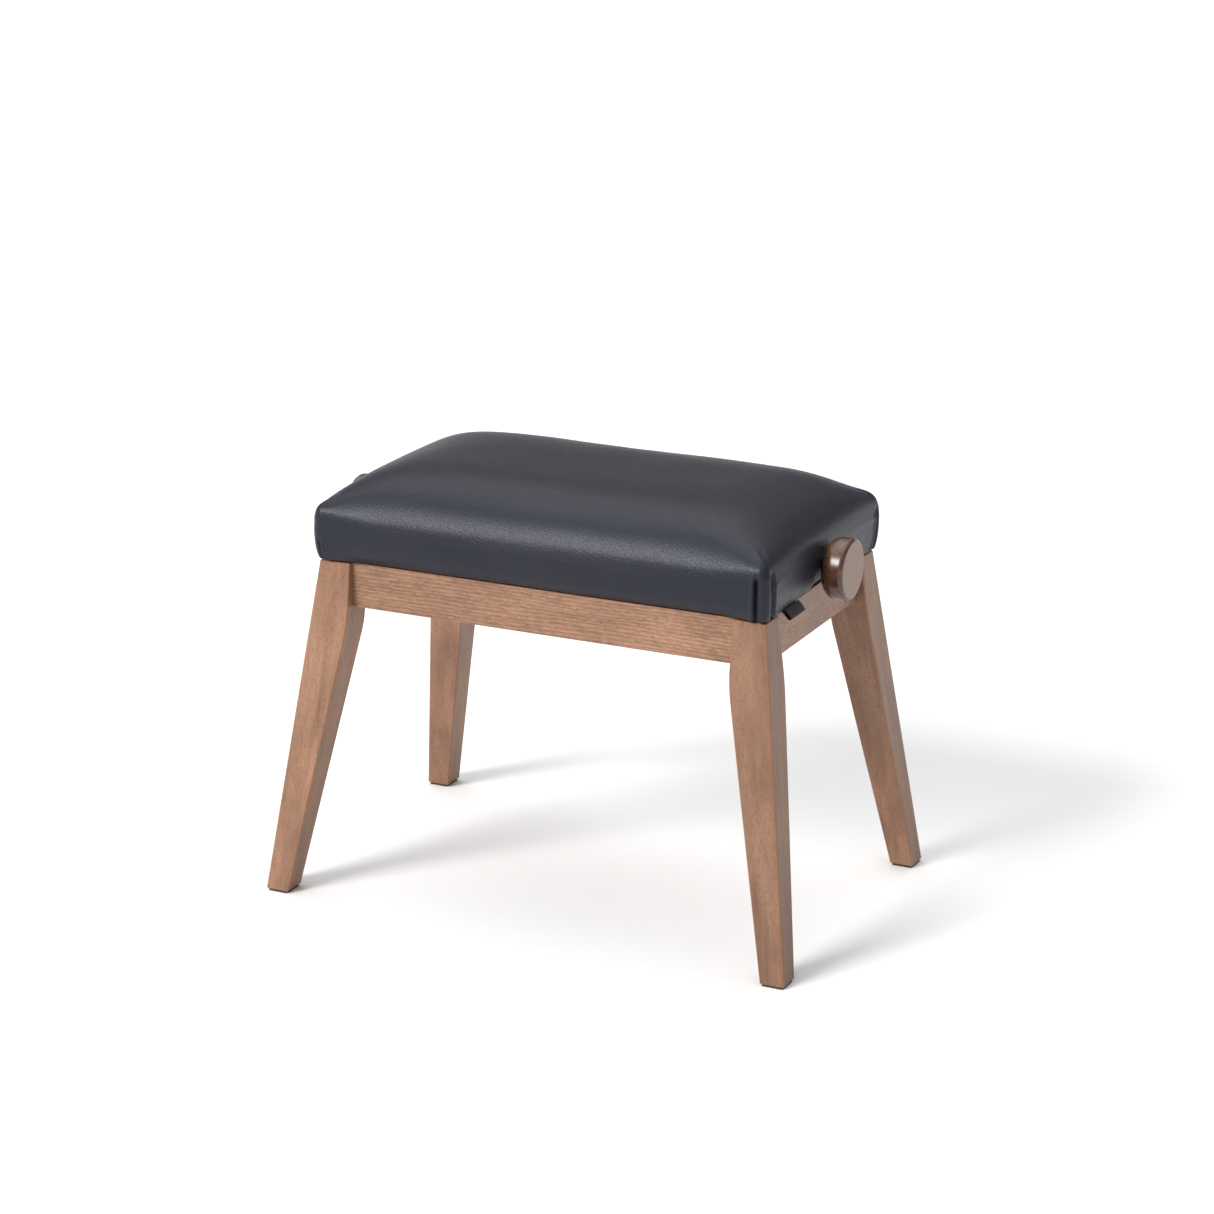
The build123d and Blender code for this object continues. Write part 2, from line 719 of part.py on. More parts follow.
def slide_blocks(level, z, hub_y):
    """Blocks that slide in the rails' slots, with a flange outside and a spacer hub inside."""
    flange_x, flange_z, flange_y = slide_block_flange
    guide_y = web_inner_y - slide_clearance
    flange_inner_y = block_outer_y - flange_y
    block_height = slide_block_height - 2 * slide_clearance
    for name, side in y_sides.items():
        with BuildPart() as block:
            with Locations((slide_x, side * (guide_y + flange_inner_y) / 2, z)):
                Box(slide_block_length, flange_inner_y - guide_y, block_height)
            with Locations((slide_x, side * (flange_inner_y + flange_y / 2), z)):
                Box(flange_x, flange_y, flange_z)
            fillet(block.edges().filter_by(Axis.Y), slide_block_round)
            if guide_y > hub_y:
                with Locations((slide_x, side * (guide_y + hub_y) / 2, z)):
                    Cylinder(spacer_radius, guide_y - hub_y, rotation=along_y)
            with Locations((slide_x, 0, z)):
                Cylinder(fixed_hole, frame_width, rotation=along_y, mode=Mode.SUBTRACT)
        finish(block, f"{level}_slide_block_{name}")


def pivot_spacers():
    """Sleeves on the upper pivot between the inner arms and the rails."""
    low = inner_arm_y + arm_thickness / 2 + clip_gap
    high = web_inner_y - clip_gap
    with BuildPart() as spacers:
        for side in y_sides.values():
            with Locations((pivot_x, side * (low + high) / 2, spindle_z)):
                Cylinder(spacer_radius, high - low, rotation=along_y)
                Cylinder(fixed_hole, high - low, rotation=along_y, mode=Mode.SUBTRACT)
    finish(spacers, "pivot_spacers")


def cross_bar(name, x, square_half, groove_y):
    """A square bar with turned ends, bored along X for the spindle."""
    with BuildPart() as bar:
        add_turned_shaft(x, spindle_z, groove_y + 2 * clip_thickness, groove_y)
        with Locations((x, 0, spindle_z)):
            Box(bar_size, 2 * square_half, bar_size)
        chamfer(bar.edges().filter_by(Axis.Y), bar_chamfer)
        with Locations((x, 0, spindle_z)):
            Cylinder(spindle_radius + running_clearance, 2 * bar_size, rotation=along_x, mode=Mode.SUBTRACT)
    finish(bar, name)


def spindle_bars():
    arm_face = arm_thickness / 2 + arm_gap / 2
    cross_bar("thrust_bar", pivot_x, inner_arm_y - arm_face, web_outer_y + clip_gap)
    cross_bar("nut_bar", slide_x, outer_arm_y - arm_face, block_outer_y + clip_gap)
    shaft_clips("thrust_bar_clips", pivot_x, spindle_z, web_outer_y + clip_gap)
    shaft_clips("nut_bar_clips", slide_x, spindle_z, block_outer_y + clip_gap)


def spindle():
    end_x = knob_inner_x + insert_inset + insert_length
    with BuildPart() as rod:
        with Locations((0, 0, spindle_z)):
            Cylinder(spindle_radius, 2 * knob_inner_x, rotation=along_x)
            Cylinder(spindle_end_radius, 2 * end_x, rotation=along_x)
        for end in (0, -1):
            chamfer(rod.edges().filter_by(GeomType.CIRCLE).group_by(Axis.X)[end], spindle_chamfer)
    finish(rod, "spindle")


def thrust_collars():
    """Set collars on the spindle, one each side of the thrust bar, with their grub screws."""
    reach = bar_size / 2 + collar_gap + collar_length / 2
    collar_x = [pivot_x - reach, pivot_x + reach]
    with BuildPart() as collars:
        for x in collar_x:
            with Locations((x, 0, spindle_z)):
                Cylinder(collar_radius, collar_length, rotation=along_x)
        chamfer(collars.edges().filter_by(GeomType.CIRCLE), collar_chamfer)
        for x in collar_x:
            with Locations((x, 0, spindle_z)):
                Cylinder(spindle_radius + close_clearance, collar_length, rotation=along_x,
                         mode=Mode.SUBTRACT)
            with Locations((x, 0, spindle_z - collar_radius)):
                Cylinder(set_screw_radius + close_clearance, collar_radius, mode=Mode.SUBTRACT)
    finish(collars, "thrust_collars")
    set_screw_bottom = spindle_z - spindle_radius - set_screw_gap - set_screw_length
    with BuildPart() as set_screws:
        for x in collar_x:
            with Locations((x, 0, set_screw_bottom + set_screw_length / 2)):
                Cylinder(set_screw_radius, set_screw_length)
            with BuildSketch(Plane.XY.offset(set_screw_bottom)):
                with Locations((x, 0)):
                    RegularPolygon(set_screw_radius / 2, 6)
            extrude(amount=set_screw_length / 2, mode=Mode.SUBTRACT)
    finish(set_screws, "collar_set_screws")


def knobs():
    for name, side in x_sides.items():
        with BuildPart() as knob:
            with Locations((side * (knob_inner_x + knob_thickness / 2), 0, spindle_z)):
                Cylinder(knob_radius, knob_thickness, rotation=along_x)
            back, face = knob.edges().filter_by(GeomType.CIRCLE).sort_by(lambda e: abs(e.center().X))
            fillet(back, knob_back_round)
            fillet(face, knob_face_round)
            with Locations((side * knob_inner_x, 0, spindle_z)):
                Cylinder(insert_radius + close_clearance, 2 * knob_bore_depth, rotation=along_x,
                         mode=Mode.SUBTRACT)
        finish(knob, f"knob_{name}")


def knob_inserts():
    """Threaded brass inserts that join the knobs to the spindle."""
    with BuildPart() as inserts:
        for side in x_sides.values():
            with Locations((side * (knob_inner_x + insert_inset + insert_length / 2), 0, spindle_z)):
                Cylinder(insert_radius, insert_length, rotation=along_x)
                Cylinder(spindle_end_radius + close_clearance, insert_length, rotation=along_x,
                         mode=Mode.SUBTRACT)
    finish(inserts, "knob_inserts")


def build_all():
    legs()
    foot_pads()
    aprons()
    apron_dowels()
    corner_blocks()
    screws("corner_block_screws", corner_screw_places(), corner_screw_length)
    seat_board()
    rim_rails()
    screws("rim_screws", rim_screw_places(), rim_screw_length)
    seat_foam()
    seat_cover()
    cover_staples()
    label_tag()
    lower_rails()
    upper_rails()
    ties()
    screws("lower_rail_screws", lower_rail_screw_places(), rail_screw_length)
    screws("upper_rail_screws", upper_rail_screw_places(), rail_screw_length)
    arms()
    arm_tubes()
    centre_pins()
    lower_pivot_shaft()
    lower_slide_shaft()
    slide_blocks("lower", lower_pivot_z, inner_arm_y + arm_thickness / 2 + clip_gap)
    slide_blocks("upper", spindle_z, web_inner_y)
    pivot_spacers()
    spindle_bars()
    spindle()
    thrust_collars()
    knobs()
    knob_inserts()


os.makedirs("parts", exist_ok=True)
build_all()
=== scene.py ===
import json
import math
import bpy
import bmesh
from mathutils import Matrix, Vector, noise


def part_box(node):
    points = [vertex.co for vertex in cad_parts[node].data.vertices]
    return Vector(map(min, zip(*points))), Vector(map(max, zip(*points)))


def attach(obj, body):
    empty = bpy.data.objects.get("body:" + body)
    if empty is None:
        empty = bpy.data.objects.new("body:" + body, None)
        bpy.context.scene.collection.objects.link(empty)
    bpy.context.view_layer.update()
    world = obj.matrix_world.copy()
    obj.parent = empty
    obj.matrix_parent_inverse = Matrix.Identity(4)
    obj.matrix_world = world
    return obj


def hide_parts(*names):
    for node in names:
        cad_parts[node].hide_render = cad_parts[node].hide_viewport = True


# A height-adjustable piano bench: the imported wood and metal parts, with a padded seat built around them.
# Metres and radians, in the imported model's own frame.

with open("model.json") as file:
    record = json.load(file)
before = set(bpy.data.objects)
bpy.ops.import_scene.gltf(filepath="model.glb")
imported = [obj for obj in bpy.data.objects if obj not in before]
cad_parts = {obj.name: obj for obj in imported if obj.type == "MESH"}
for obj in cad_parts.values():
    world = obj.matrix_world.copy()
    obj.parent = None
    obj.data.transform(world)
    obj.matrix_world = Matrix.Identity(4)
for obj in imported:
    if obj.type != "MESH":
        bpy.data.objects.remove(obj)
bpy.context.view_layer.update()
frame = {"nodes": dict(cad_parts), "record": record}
nodes = frame["nodes"]

# Camera, standing to the right of the bench's front
CAMERA_TURN = math.radians(25.97)
CAMERA_RISE = math.radians(17.55)
CAMERA_REACH = 3.792
CAMERA_LENS = 99.2
CAMERA_SENSOR = 36
CAMERA_SHIFT = 0.0076
CAMERA_CLIP = 60
AIM_HEIGHT = 0.3268

# Floor and light; a span gives directions' Z or X between which the sky's strength changes
FLOOR_HALF = 14.0
FLOOR_COLOUR = (0.88, 0.88, 0.88, 1)
FLOOR_ROUGHNESS = 0.9
SKY_COLOUR = (0.97, 0.98, 1.0, 1)
HORIZON_LIGHT = 0.03
OVERHEAD_LIGHT = 1.45
RISE_SPAN = (0.30, 0.85)
SHADE_SIDE_LIGHT = 0.5      # share of that light which comes from the +X side
SIDE_SPAN = (-0.2, 0.9)
SKYLINE_SPAN = (0.10, 0.18) # upper edge of a bright band that meets the floor
LAMP_COLOUR = (1.0, 0.985, 0.96)
LIGHTS = (                  # name, direction it comes from, width in degrees, strength
    ("key", (-0.42, -0.80, 0.62), 22, 2.85),
    ("top", (-0.25, 0.30, 1.0), 50, 0.5),
)

# Colours of the wood; each stained piece has its own tone
STAIN_DEEP = (0.150, 0.068, 0.036)
STAIN_MIDDLE = (0.235, 0.115, 0.063)
STAIN_PALE = (0.315, 0.168, 0.098)
STAIN_FLECK = (0.062, 0.040, 0.033)
STAIN_FIBRE = (0.36, 0.20, 0.12)
STAIN_DARK_ROW = (0.105, 0.057, 0.038)
STAIN_PALE_ROW = (0.40, 0.225, 0.135)
# painted highlight: the orange-brown colour given to the rounded edges of the legs and aprons
STAIN_EDGE_HIGHLIGHT = (0.34, 0.135, 0.052)
STAIN_GLOSS = (0.38, 0.48)  # roughness
LEG_TONES = {"leg_front_left": 1.08, "leg_front_right": 0.87, "leg_rear_left": 1.04, "leg_rear_right": 0.98}
APRON_TONE = 1.14
APRON_ROWS = 240.0          # rows of grain in a metre of an apron's height
GRAIN_OFFSETS = (0.37, 0.71, 0.53)      # how far the figure moves from one piece to the next
KNOB_DEEP = (0.020, 0.012, 0.009)
KNOB_MIDDLE = (0.075, 0.030, 0.015)
KNOB_PALE = (0.165, 0.070, 0.034)
KNOB_FLECK = (0.05, 0.03, 0.022)
KNOB_FACE = ((0.235, 0.140, 0.092), (0.160, 0.092, 0.060))
KNOB_GRAIN = (0.1, 1, 0.3)  # direction of the knobs' grain
KNOB_GLOSS = (0.27, 0.45)   # roughness of the turned side and the flat face
BEECH_DARK = (0.36, 0.22, 0.12)
BEECH_PALE = (0.56, 0.38, 0.24)
BEECH_FLECK = (0.24, 0.13, 0.07)
PLYWOOD_TONE = 1.08

# Other colours
LEATHER = ((0.0150, 0.0156, 0.0230), (0.0185, 0.0190, 0.0270))
LEATHER_PORE = (0.009, 0.009, 0.012)
LEATHER_GLOSS = (0.31, 0.43)
LEATHER_TINT = (0.88, 0.92, 1.0, 1)
FOAM = ((0.62, 0.55, 0.36), (0.80, 0.74, 0.56))
LABEL_BROWN = (0.030, 0.019, 0.015)
COATED = {                  # colour and roughness
    "black_steel": ((0.022, 0.022, 0.024), 0.42),
    "slide_nylon": ((0.74, 0.72, 0.64), 0.45),
    "foot_plastic": ((0.035, 0.022, 0.016), 0.5),
}
METALS = {
    "bright_steel": ((0.56, 0.56, 0.57), 0.3),
    "zinc_steel": ((0.66, 0.64, 0.56), 0.34),
    "brass": ((0.72, 0.50, 0.21), 0.3),
}

# Cushion
ROLL_RADIUS = 0.027         # rounding along the middle of the front and rear top edges
END_ROLL = 0.015            # along the middle of the ends' edges
CORNER_ROLL = 0.016         # and at the corners
ROLL_SPAN = (0.008, 0.085)  # distances from a corner between which the rounding grows
PLAN_CORNER = 0.013         # the seat's corners seen from above, at the widest outline
CROWN_EDGE = 0.0374         # crown's top down to its edge, before the rounding
CROWN_POWERS = (7.7, 4.5)   # how late the crown falls away along X and Y
CROWN_BLEND = 1.29
TUCK = (0.0060, 0.0120)     # how far the sides lean in at the bottom, along X and Y
CORNER_TUCK = 0.45          # share of that lean at the corners, where the cover is folded double
TUCK_SPAN = (0.010, 0.060)  # distances from a corner between which the lean grows
TUCK_CURVE = ((0.35, 1.5), (0.65, 5))   # shares and powers: most of the lean is low down
EDGE_BAND = 0.036           # width of the fine part of the cushion's grid, along every edge
EDGE_STEP = 0.002
MIDDLE_STEP = 0.006
SIDE_RINGS = 16
CAVITY_GAP = 0.0004         # cushion's inside to the board and rim
CAVITY_CORNER = 0.012
FOLD = 0.016                # width of the cover folded under the rim
COVER = 0.0014              # cover's thickness there
HEM_ROUND = 0.0018          # rounding where the cover turns under
HEM_CORNER = 0.002          # least corner of the folded cover's inner edge
RECESS_HALF = 0.030         # recess in the seat's ends, under the knobs
RECESS_RISE = 0.0050
RECESS_FADE = (0.002, 0.003)            # inside and outside the recess's half-width
NEAR = 1e-5

# How the cover settles over the padding
HELD_SPAN = (-0.016, 0.004) # from the widest outline: held below, free above
SETTLE = {
    "quality": 5,
    "mass": 0.4,
    "tension_stiffness": 30,
    "compression_stiffness": 12,
    "shear_stiffness": 8,
    "bending_stiffness": 0.4,
    "use_pressure": True,
    "uniform_pressure_force": 3.0,
}
SETTLE_FRAMES = 14
SETTLE_CAP = 0.0010         # the furthest any point moves
TOP_WAVE = 0.0007           # unevenness of the padding
TOP_WAVE_SCALE = 14
TOP_WAVE_FULL = 0.02        # full from this far below the crown's top

# Each corner's folds: for each groove its place along the outline (positive towards the front or rear),
# depth, half-width and upper end above the seat's underside; then the swell of the fold between them
FOLDS = {
    (True, False): (((-0.0142, 0.0066, 0.0030, 0.045), (0.0112, 0.0066, 0.0020, 0.043)), 0.0012),
    (False, False): (((-0.0085, 0.0022, 0.0016, 0.016), (0.0075, 0.0030, 0.0016, 0.019)), 0.0003),
    (True, True): (((-0.0132, 0.0058, 0.0026, 0.041), (0.0118, 0.0050, 0.0024, 0.044)), 0.0012),
    (False, True): (((-0.0124, 0.0056, 0.0024, 0.042), (0.0132, 0.0062, 0.0028, 0.045)), 0.0012),
}
FOLD_REACH = 0.03           # folds stay this near the outline
FOLD_FADE = 0.010           # height over which a groove runs out
FLAT_HEM = 1e-4             # the underside stays flat up to here
LIP = 0.0011                # how far the cover stands up beside a groove that is LIP_DEPTH deep
LIP_DEPTH = 0.006
LIP_PLACE = 2.2             # groove's middle to the lip, in half-widths
SWELL_HALF = 0.0100
SWELL_FADE = (0.004, 0.024) # above the widest outline
RIPPLE = 0.0007             # faint puckers low on the sides
RIPPLE_SCALE = (55, 55, 9)
RIPPLE_CORNER = 0.012       # within this distance of a corner's middle they are fainter
RIPPLE_CORNER_SHARE = 0.2

# Label
LABEL_LEAF = 0.0006
LABEL_TILT = math.radians(43)
LABEL_LENGTH = 0.016
LABEL_OPENING = 0.0031      # between the two leaves' middles
LABEL_BOWS = (-0.0004, 0.0005)          # inner and outer leaf out of straight
LABEL_CURL = 0.0007
LABEL_CURL_RISE = 0.3
LABEL_SEWN = 0.0004         # seat's underside to the ribbon's start
LABEL_STEPS = 14
LABEL_BEND_STEPS = 10
LABEL_COLUMNS = 16

# Spindle's thread
THREAD_PITCH = 0.003
THREAD_ROOT = 0.0050
THREAD_FLANK = 5.0          # steepness of a ridge's flanks
THREAD_FLAT = 2.0           # and how far they are cut off at its crest
THREAD_CLEARANCE = 0.00005
THREAD_LEAD = 0.004         # collar to the thread's start
THREAD_END = 0.002          # plain length beside the thread
END_STEP = 0.001            # turned-down ends, and their chamfers
THREAD_SIDES = 20
THREAD_STEPS = 6            # rings for each turn


def link(obj):
    bpy.context.scene.collection.objects.link(obj)
    return obj


def mesh_object(name, vertices, faces, smooth=True):
    mesh = bpy.data.meshes.new(name)
    mesh.from_pydata([tuple(v) for v in vertices], [], faces)
    mesh.validate()
    for polygon in mesh.polygons:
        polygon.use_smooth = smooth
    return link(bpy.data.objects.new(name, mesh))


def tidy_normals(obj):
    mesh = bmesh.new()
    mesh.from_mesh(obj.data)
    bmesh.ops.remove_doubles(mesh, verts=mesh.verts, dist=1e-6)
    bmesh.ops.recalc_face_normals(mesh, faces=mesh.faces)
    mesh.to_mesh(obj.data)
    mesh.free()


def smooth(value, low, high):
    share = min(max((value - low) / (high - low), 0.0), 1.0)
    return share * share * (3 - 2 * share)


# Materials


class Nodes:
    """A node tree under construction: make() adds a node, and a socket given as an input is linked to it."""

    def __init__(self, tree):
        self.tree = tree

    def make(self, kind, inputs=(), **settings):
        made = self.tree.nodes.new("ShaderNode" + kind)
        for key, value in settings.items():
            setattr(made, key, value)
        for key, value in dict(inputs).items():
            self.put(made.inputs[key], value)
        return made

    def put(self, socket, value):
        if isinstance(value, bpy.types.NodeSocket):
            self.tree.links.new(value, socket)
        else:
            socket.default_value = value

    def math(self, operation, a, b=0.0):
        return self.make("Math", {0: a, 1: b}, operation=operation).outputs[0]

    def weigh(self, a, share_a, b, share_b):
        return self.math("ADD", self.math("MULTIPLY", a, share_a), self.math("MULTIPLY", b, share_b))

    def span(self, value, low, high, new_low=0.0, new_high=1.0):
        return self.make(
            "MapRange", {0: value, 1: low, 2: high, 3: new_low, 4: new_high}, clamp=True
        ).outputs[0]


class Maker(Nodes):
    """A material with one shader, whose patterns follow the object's own coordinates."""

    def __init__(self, name):
        self.material = bpy.data.materials.new(name)
        self.material.use_nodes = True
        super().__init__(self.material.node_tree)
        self.shader = self.tree.nodes["Principled BSDF"]
        self.place = self.make("TexCoord").outputs["Object"]

    def set(self, **inputs):
        for key, value in inputs.items():
            self.put(self.shader.inputs[key.replace("_", " ")], value)

    def vector(self, operation, a, b):
        made = self.make("VectorMath", {0: a, 1: b}, operation=operation)
        return made.outputs["Value" if operation == "DOT_PRODUCT" else "Vector"]

    def normal(self):
        return self.make("SeparateXYZ", {0: self.make("NewGeometry").outputs["True Normal"]}).outputs

    def stretch(self, along, share, place=None):
        """Coordinates turned to have their Z in the direction along, and drawn out there by 1 / share."""
        turn = Vector(along).normalized().rotation_difference(Vector((0, 0, 1))).to_euler()
        turned = self.make("Mapping", {0: place or self.place, "Rotation": turn})
        return self.make("Mapping", {0: turned.outputs[0], "Scale": (1.0, 1.0, share)}).outputs[0]

    def noise(self, place, scale, detail=2.0, roughness=0.5, distortion=0.0):
        made = self.make(
            "TexNoise",
            {"Vector": place, "Scale": scale, "Detail": detail, "Roughness": roughness,
             "Distortion": distortion},
        )
        return made.outputs[0]

    def ramp(self, value, *stops):
        made = self.make("ValToRGB", {0: value})
        colours = made.color_ramp.elements
        while len(colours) < len(stops):
            colours.new(0.5)
        for element, (position, colour) in zip(colours, stops):
            element.position = position
            element.color = (*colour, 1)
        return made.outputs[0]

    def mix(self, factor, a, b):
        made = self.make("MixRGB", {0: factor})
        for key, value in ((1, a), (2, b)):
            self.put(made.inputs[key], value if isinstance(value, bpy.types.NodeSocket) else (*value, 1))
        return made.outputs[0]

    def bump(self, height, strength, distance):
        return self.make("Bump", {"Height": height, "Strength": strength, "Distance": distance}).outputs[0]


def shade(colour, tone):
    return tuple(channel * tone for channel in colour)


def face_mask(maker):
    """1 on the flat faces of a squared piece, and 0 on its rounded edges."""
    parts = maker.normal()
    sizes = [maker.math("ABSOLUTE", parts[axis]) for axis in range(3)]
    largest = maker.math("MAXIMUM", maker.math("MAXIMUM", sizes[0], sizes[1]), sizes[2])
    return maker.span(largest, 0.90, 0.985)


def stained_beech(name, along, number, rows=0.0, tone=1.0):
    """Walnut-stained beech: soft lengthwise figure, fine dark ray flecks, and a painted orange-brown
    highlight along the rounded edges.
    """
    maker = Maker(name)
    moved = maker.vector("ADD", maker.place, tuple(number * offset for offset in GRAIN_OFFSETS))
    clouds = maker.noise(maker.stretch(along, 0.35, moved), 26.0, 3.0, 0.55, 0.6)
    figure = maker.noise(maker.stretch(along, 0.10, moved), 95.0, 4.0, 0.6, 0.4)
    base = maker.ramp(
        maker.weigh(clouds, 0.6, figure, 0.4),
        (0.34, shade(STAIN_DEEP, tone)), (0.50, shade(STAIN_MIDDLE, tone)), (0.66, shade(STAIN_PALE, tone)),
    )
    fleck = maker.span(maker.noise(maker.stretch(along, 0.22, moved), 900.0, 2.0, 0.55), 0.52, 0.68)
    colour = maker.mix(maker.math("MULTIPLY", fleck, 0.55), base, shade(STAIN_FLECK, tone))
    fibre = maker.noise(maker.stretch(along, 0.03, moved), 1500.0, 2.0, 0.6)
    colour = maker.mix(maker.span(fibre, 0.35, 0.7, 0.0, 0.22), colour, shade(STAIN_FIBRE, tone))
    height = maker.math("SUBTRACT", maker.math("MULTIPLY", fibre, 0.4), fleck)
    if rows:
        ripple = maker.noise(maker.stretch(along, 0.16, moved), 30.0, 3.0, 0.55)
        level = maker.vector("DOT_PRODUCT", moved, (0, 0, 1))
        phase = maker.weigh(level, rows, ripple, 3.0)
        wave = maker.math("SINE", maker.math("MULTIPLY", phase, 2 * math.pi))
        broken = maker.noise(maker.stretch(along, 0.26, moved), 430.0, 3.0, 0.62)
        band = maker.weigh(wave, 0.26, broken, 2.0)
        colour = maker.mix(maker.span(band, 1.0, 1.45, 0.0, 0.5), colour, shade(STAIN_DARK_ROW, tone))
        colour = maker.mix(maker.span(band, 0.55, 0.98, 0.4, 0.0), colour, shade(STAIN_PALE_ROW, tone))
        height = maker.math("SUBTRACT", height, maker.math("MULTIPLY", band, 0.5))
    # Painted highlight: the rounded edges are mixed towards an orange-brown colour that stands in for light
    # caught along them.
    colour = maker.mix(face_mask(maker), maker.mix(0.6, colour, STAIN_EDGE_HIGHLIGHT), colour)
    maker.set(Base_Color=colour, Roughness=maker.span(clouds, 0.3, 0.7, *STAIN_GLOSS))
    maker.set(Normal=maker.bump(height, 0.25, 0.0003))
    return maker.material


def turned_beech(name):
    """The knobs: darker glossy beech with a paler flat face."""
    maker = Maker(name)
    clouds = maker.noise(maker.stretch(KNOB_GRAIN, 0.25), 60.0, 4.0, 0.6, 1.2)
    streaks = maker.noise(maker.stretch(KNOB_GRAIN, 0.12), 330.0, 3.0, 0.6, 0.5)
    base = maker.ramp(
        maker.weigh(clouds, 0.55, streaks, 0.45), (0.36, KNOB_DEEP), (0.50, KNOB_MIDDLE), (0.68, KNOB_PALE)
    )
    fleck = maker.span(maker.noise(maker.stretch((0, 1, 0), 0.4), 1100.0), 0.54, 0.7)
    base = maker.mix(maker.math("MULTIPLY", fleck, 0.4), base, KNOB_FLECK)
    flat = maker.span(maker.math("ABSOLUTE", maker.normal()[0]), 0.985, 0.999)
    face = maker.mix(maker.span(streaks, 0.35, 0.7, 0.1, 0.5), *KNOB_FACE)
    maker.set(Base_Color=maker.mix(flat, base, face), Roughness=maker.span(flat, 0, 1, *KNOB_GLOSS))
    maker.set(Coat_Weight=0.15, Coat_Roughness=0.25)
    return maker.material


def plain_beech(name, along, tone=1.0):
    """Unstained beech, and with another tone the seat board's plywood."""
    maker = Maker(name)
    figure = maker.noise(maker.stretch(along, 0.08), 120.0, 4.0, 0.6, 0.4)
    base = maker.ramp(figure, (0.3, shade(BEECH_DARK, tone)), (0.7, shade(BEECH_PALE, tone)))
    fleck = maker.span(maker.noise(maker.stretch(along, 0.2), 800.0), 0.54, 0.7)
    maker.set(Base_Color=maker.mix(maker.math("MULTIPLY", fleck, 0.5), base, BEECH_FLECK))
    maker.set(Roughness=0.62, Normal=maker.bump(figure, 0.2, 0.0004))
    return maker.material


def leatherette(name):
    """Charcoal leatherette with a fine pebble grain."""
    maker = Maker(name)
    pebble = maker.make(
        "TexVoronoi", {"Vector": maker.place, "Scale": 560.0, "Randomness": 1.0}, feature="SMOOTH_F1"
    ).outputs[0]
    fine = maker.noise(maker.place, 1300.0, 3.0, 0.6)
    drift = maker.noise(maker.place, 9.0)
    height = maker.weigh(pebble, 0.8, fine, 0.5)
    colour = maker.mix(maker.span(drift, 0.3, 0.7), *LEATHER)
    colour = maker.mix(maker.span(height, 0.35, 0.85, 0.0, 0.30), colour, LEATHER_PORE)
    maker.set(Base_Color=colour, Roughness=maker.span(height, 0.3, 0.9, *LEATHER_GLOSS))
    maker.set(Normal=maker.bump(height, 0.42, 0.0006))
    maker.set(Specular_IOR_Level=0.26, Specular_Tint=LEATHER_TINT)
    return maker.material


def metal(name, colour, roughness):
    """Bare metal with fine marks along Y."""
    maker = Maker(name)
    marks = maker.noise(maker.stretch((0, 1, 0), 0.05), 900.0)
    maker.set(Base_Color=maker.mix(maker.span(marks, 0.3, 0.7), shade(colour, 0.8), colour), Metallic=1.0)
    maker.set(Roughness=maker.span(marks, 0.3, 0.7, roughness - 0.05, roughness + 0.07))
    maker.set(Normal=maker.bump(marks, 0.1, 0.0002))
    return maker.material


def coated(name, colour, roughness):
    """Powder coat, nylon or moulded plastic: one colour with a fine skin."""
    maker = Maker(name)
    skin = maker.noise(maker.place, 700.0, 3.0, 0.6)
    maker.set(Base_Color=maker.mix(maker.span(skin, 0.35, 0.65), shade(colour, 0.82), colour))
    maker.set(Roughness=maker.span(skin, 0.3, 0.7, roughness - 0.06, roughness + 0.06))
    maker.set(Normal=maker.bump(skin, 0.15, 0.0002))
    return maker.material


def woven(name, colour):
    """Ribbon of two crossing sets of threads."""
    maker = Maker(name)
    bands = [
        maker.make(
            "TexWave", {"Vector": maker.place, "Scale": 420.0, "Distortion": 0.4}, bands_direction=axis
        ).outputs[0]
        for axis in ("Y", "Z")
    ]
    thread = maker.math("MULTIPLY", *bands)
    maker.set(Base_Color=maker.mix(thread, shade(colour, 0.45), colour), Roughness=0.8)
    maker.set(Normal=maker.bump(thread, 0.5, 0.0003), Sheen_Weight=0.08)
    return maker.material


def foam_material(name):
    maker = Maker(name)
    cells = maker.make("TexVoronoi", {"Vector": maker.place, "Scale": 600.0}).outputs[0]
    maker.set(Base_Color=maker.mix(maker.span(cells, 0.2, 0.7), *FOAM))
    maker.set(Roughness=0.95, Normal=maker.bump(cells, 0.6, 0.0008))
    return maker.material


def dress(obj, material):
    obj.data.materials.clear()
    obj.data.materials.append(material)


def leg_direction(name):
    """Along a splayed leg from foot to top; its box is a little wider than the splay alone."""
    low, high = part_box(name)
    side_x = 1 if low[0] + high[0] > 0 else -1
    side_y = 1 if low[1] + high[1] > 0 else -1
    size = [high[axis] - low[axis] for axis in range(3)]
    return (-side_x * size[0] * 0.6, -side_y * size[1] * 0.6, size[2])


def longer_side(name):
    low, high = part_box(name)
    return (1, 0, 0) if high[0] - low[0] > high[1] - low[1] else (0, 1, 0)


def dress_nodes():
    """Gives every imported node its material, and returns those that the pieces made here share."""
    shared = {
        "stained_beech_knobs": turned_beech("stained_beech_knobs"),
        "plywood": plain_beech("birch_plywood", (1, 0, 0), PLYWOOD_TONE),
        "label_cloth": woven("label_cloth", LABEL_BROWN),
        "foam": foam_material("seat_foam"),
        "leatherette": leatherette("leatherette"),
    }
    for name, look in COATED.items():
        shared[name] = coated(name, *look)
    for name, look in METALS.items():
        shared[name] = metal(name, *look)
    slots = {entry["node"]: entry["material_slot"] for entry in frame["record"]["subparts"]}
    for number, (name, obj) in enumerate(sorted(nodes.items())):
        slot = slots[name]
        if slot == "stained_beech_legs":
            dress(obj, stained_beech(name, leg_direction(name), number, tone=LEG_TONES[name]))
        elif slot == "stained_beech_aprons":
            dress(obj, stained_beech(name, longer_side(name), number, APRON_ROWS, APRON_TONE))
        elif slot == "plain_beech":
            dress(obj, plain_beech(name + "_beech", longer_side(name)))
        else:
            dress(obj, shared[slot])
    return shared


# Seat cushion


